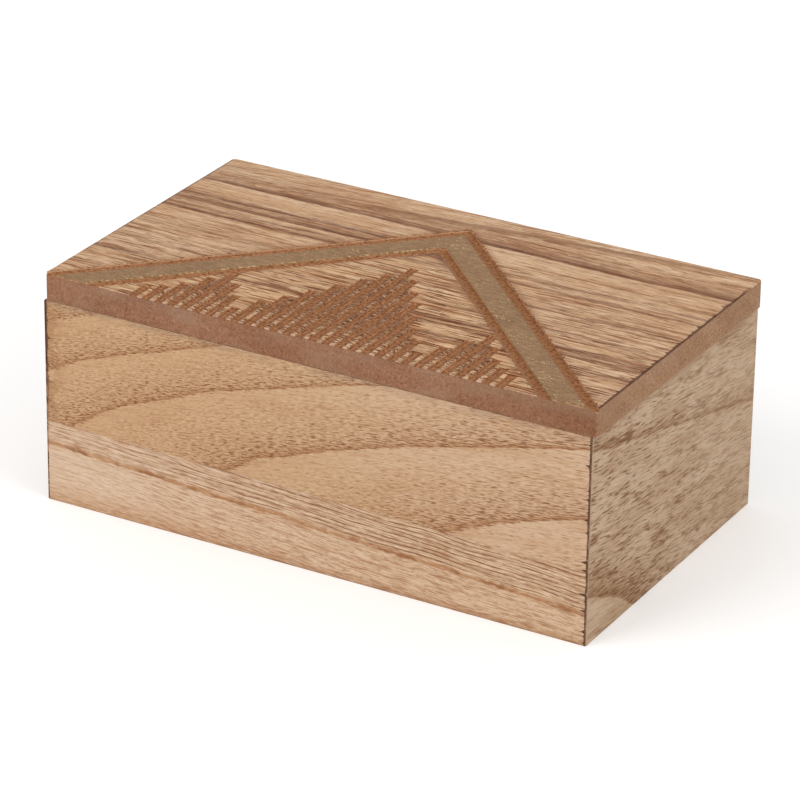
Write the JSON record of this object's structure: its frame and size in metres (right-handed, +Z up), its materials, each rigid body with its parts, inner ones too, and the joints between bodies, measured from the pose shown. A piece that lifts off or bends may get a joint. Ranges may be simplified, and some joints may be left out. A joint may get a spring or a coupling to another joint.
{
  "type": "wooden box",
  "caption": "Rectangular veneered wooden box with a hinged flat lid, inlaid with a gold chevron over a stepped hatch of routed grooves, for keeping small things.",
  "frame": {"origin": "centre of the box's underside, where it rests", "axes": "+X to the right along the front, +Y to the back, where the hinges are, +Z up"},
  "size_m": [0.2412, 0.1428, 0.0974],
  "materials": {
    "fibreboard": "bare sawn fibreboard",
    "wall_veneer": "matt open-pored wood veneer",
    "lid_veneer": "matt streaked wood veneer",
    "gold_inlay": "satin gold paint with bright flecks",
    "hinge_metal": "dull antique brass"
  },
  "bodies": {
    "box": {"front_wall": "fibreboard", "back_wall": "fibreboard", "left_wall": "fibreboard", "right_wall": "fibreboard", "bottom_panel": "fibreboard", "front_veneer_upper": "wall_veneer", "front_veneer_lower": "wall_veneer", "back_veneer": "wall_veneer", "left_veneer": "wall_veneer", "right_veneer": "wall_veneer", "left_hinge_body_leaf": "hinge_metal", "left_hinge_pin": "hinge_metal", "left_hinge_body_screws": "hinge_metal", "right_hinge_body_leaf": "hinge_metal", "right_hinge_pin": "hinge_metal", "right_hinge_body_screws": "hinge_metal"},
    "lid": {"lid_board": "fibreboard", "lid_veneer_outer": "lid_veneer", "lid_veneer_inner": "lid_veneer", "gold_chevron": "gold_inlay", "left_hinge_lid_leaf": "hinge_metal", "left_hinge_lid_screws": "hinge_metal", "right_hinge_lid_leaf": "hinge_metal", "right_hinge_lid_screws": "hinge_metal"}
  },
  "joints": [
    {"name": "lid_hinge", "type": "hinge", "parent": "box", "child": "lid", "pos_m": [0, 0.0715, 0.086], "axis": [-1, 0, 0], "range_deg": [0, 180]}
  ]
}
